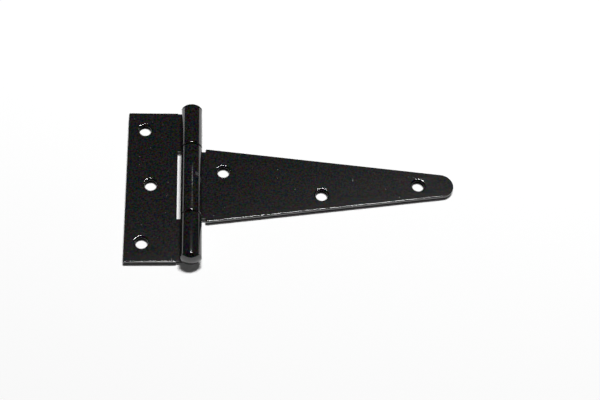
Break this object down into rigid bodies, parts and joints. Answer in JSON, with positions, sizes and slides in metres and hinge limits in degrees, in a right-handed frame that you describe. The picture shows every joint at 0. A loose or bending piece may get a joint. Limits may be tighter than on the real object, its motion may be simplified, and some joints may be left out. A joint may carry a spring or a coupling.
{
  "type": "tee hinge",
  "caption": "Black gloss-coated steel tee hinge: a rectangular plate leaf and a long tapered strap with a round tip, rolled knuckles on a riveted pin, countersunk screw holes.",
  "frame": {"origin": "under the middle of the pin, on the plane of the two leaves' backs", "axes": "+X out along the strap, +Y along the pin, +Z out of the leaves' front faces"},
  "size_m": [0.1896, 0.107, 0.0121],
  "materials": {
    "black_coat": "gloss",
    "black_pin": "gloss"
  },
  "bodies": {
    "plate": {"plate_leaf": "black_coat", "hinge_pin": "black_pin"},
    "strap": {"strap_leaf": "black_coat"}
  },
  "joints": [
    {"name": "strap_swing", "type": "hinge", "parent": "plate", "child": "strap", "pos_m": [0, 0, 0.00605], "axis": [0, -1, 0], "range_deg": [-104, 188]}
  ]
}
